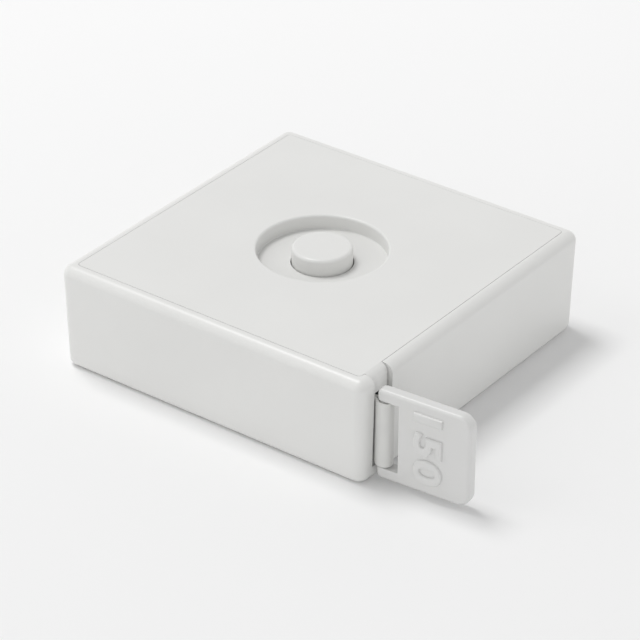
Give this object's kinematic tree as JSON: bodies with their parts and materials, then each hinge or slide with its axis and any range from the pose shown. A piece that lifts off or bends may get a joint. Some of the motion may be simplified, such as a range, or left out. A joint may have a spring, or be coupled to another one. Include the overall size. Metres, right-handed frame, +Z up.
{
  "type": "tape measure",
  "caption": "Flat square pocket tape measure with a centre push button in a round dish, a spring reel and a hinged pull tab at one corner.",
  "frame": {"origin": "on the reel's axis at the middle of the case's flat underside", "axes": "+X is the way the tape is drawn out, +Z is up out of the button, -Y is the side of the case that the tape runs along"},
  "size_m": [0.0639, 0.05, 0.0156],
  "materials": {
    "white_abs": "moulded ABS, fine matte texture, warm white",
    "white_pom": "moulded acetal, satin",
    "tape_white": "coated glass-fibre tape, satin",
    "steel": "turned and tumbled steel",
    "spring_steel": "blued spring steel strip",
    "zinc_steel": "zinc-plated steel",
    "brake_rubber": "moulded friction rubber"
  },
  "bodies": {
    "case": {"case_tray": "white_abs", "top_cover": "white_abs", "cover_screws": "zinc_steel", "axle_screw": "zinc_steel", "reel_axle": "steel", "lower_washer": "white_pom", "upper_washer": "white_pom", "mainspring": "spring_steel", "button_spring": "steel", "tape_run": "tape_white", "guide_pin": "steel"},
    "reel": {"reel_hub": "white_pom", "tape_anchor": "zinc_steel", "spring_plate": "zinc_steel", "reel_flange": "white_pom", "tape_roll": "tape_white"},
    "button": {"push_button": "white_abs", "brake_ring": "brake_rubber"},
    "tape_end": {"tape_loop": "tape_white"},
    "tab": {"pull_tab": "white_abs"}
  },
  "joints": [
    {"name": "tape_pull", "type": "slide", "parent": "case", "child": "tape_end", "axis": [1, 0, 0], "range_m": [0, 1.5], "deforming": ["tape_run"]},
    {"name": "tab_swing", "type": "hinge", "parent": "tape_end", "child": "tab", "pos_m": [0.026, -0.02152, 0.00735], "axis": [0, 0, 1], "range_deg": [-94, 86]},
    {"name": "reel_spin", "type": "hinge", "parent": "case", "child": "reel", "pos_m": [0, 0, 0.00725], "axis": [0, 0, 1], "continuous": true, "deforming": ["mainspring"]},
    {"name": "button_press", "type": "slide", "parent": "case", "child": "button", "axis": [0, 0, -1], "range_m": [0, 0.0012], "stiffness_N_per_m": 500, "springref_m": -0.001, "deforming": ["button_spring"]}
  ],
  "couplings": [
    {"joint": "reel_spin", "follows": "tape_pull", "rad_per_m": 67.48}
  ]
}
